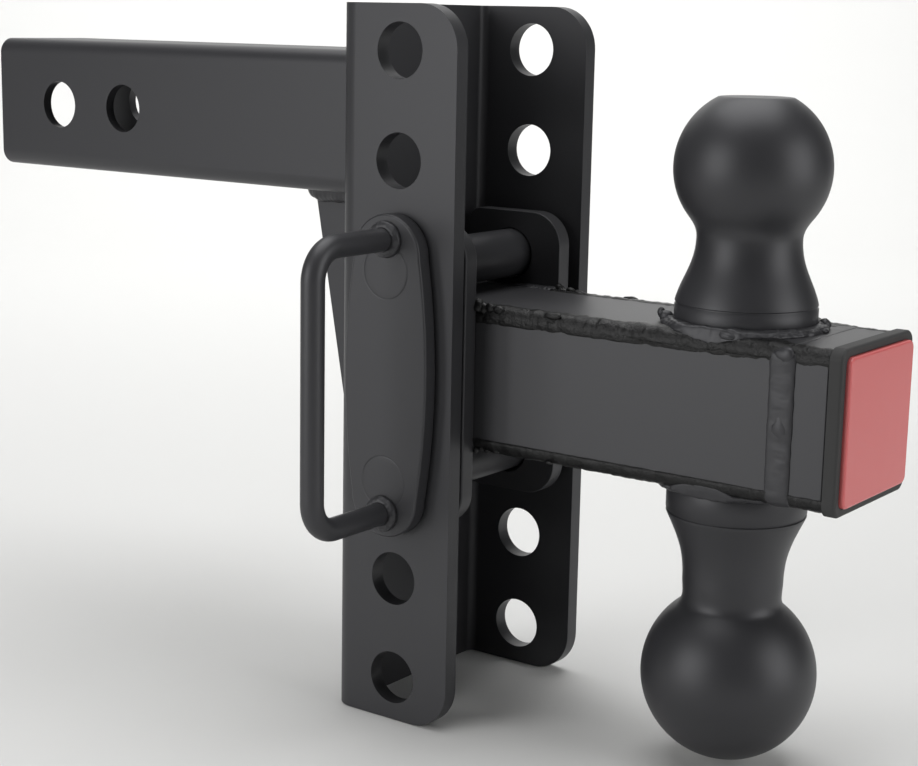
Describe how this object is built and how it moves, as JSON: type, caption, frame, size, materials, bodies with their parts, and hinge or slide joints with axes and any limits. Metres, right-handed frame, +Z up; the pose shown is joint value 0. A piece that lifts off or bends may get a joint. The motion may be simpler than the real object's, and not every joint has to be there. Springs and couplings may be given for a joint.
{
  "type": "trailer hitch ball mount",
  "caption": "Adjustable trailer hitch with a hollow shank, a drilled height-adjusting channel, a double-pin handle and a two-ball tow arm.",
  "frame": {"origin": "centre of the shank's hitch-pin hole nearest its free end, on the shank's axis", "axes": "+X along the shank from the vehicle towards the trailer, +Z up with the smaller ball on top, -Y towards the pin handle"},
  "size_m": [0.3784, 0.1477, 0.25],
  "materials": {
    "frame_coat": "satin black powder coat on the shank, channel and gusset",
    "mount_coat": "satin black powder coat on the arm, stub and cheeks",
    "ball_coat": "smooth satin black on the balls and necks",
    "weld_coat": "black powder coat over rippled weld beads",
    "pin_coat": "satin black powder coat on the pins, plate and handle",
    "cap_plastic": "moulded black plastic",
    "reflector_red": "translucent red reflector with a fine prism texture"
  },
  "bodies": {
    "hitch": {"adjusting_channel": "frame_coat", "arm_edge_welds": "weld_coat", "arm_tube": "mount_coat", "cheek_welds": "weld_coat", "clip_side_cheek": "mount_coat", "end_cap": "cap_plastic", "end_stub": "mount_coat", "gusset_welds": "weld_coat", "handle_side_cheek": "mount_coat", "lower_ball": "ball_coat", "lower_ball_weld": "weld_coat", "reflector": "reflector_red", "shank_gusset": "frame_coat", "shank_tube": "frame_coat", "shank_weld": "weld_coat", "stub_weld": "weld_coat", "upper_ball": "ball_coat", "upper_ball_weld": "weld_coat"},
    "pin_handle": {"handle_plate": "pin_coat", "handle_bar": "pin_coat", "upper_pin": "pin_coat", "lower_pin": "pin_coat", "pin_plug_welds": "weld_coat", "handle_welds": "weld_coat"}
  },
  "joints": [
    {"name": "pin_slide", "type": "slide", "parent": "hitch", "child": "pin_handle", "axis": [0, -1, 0], "range_m": [0, 0.105]}
  ]
}
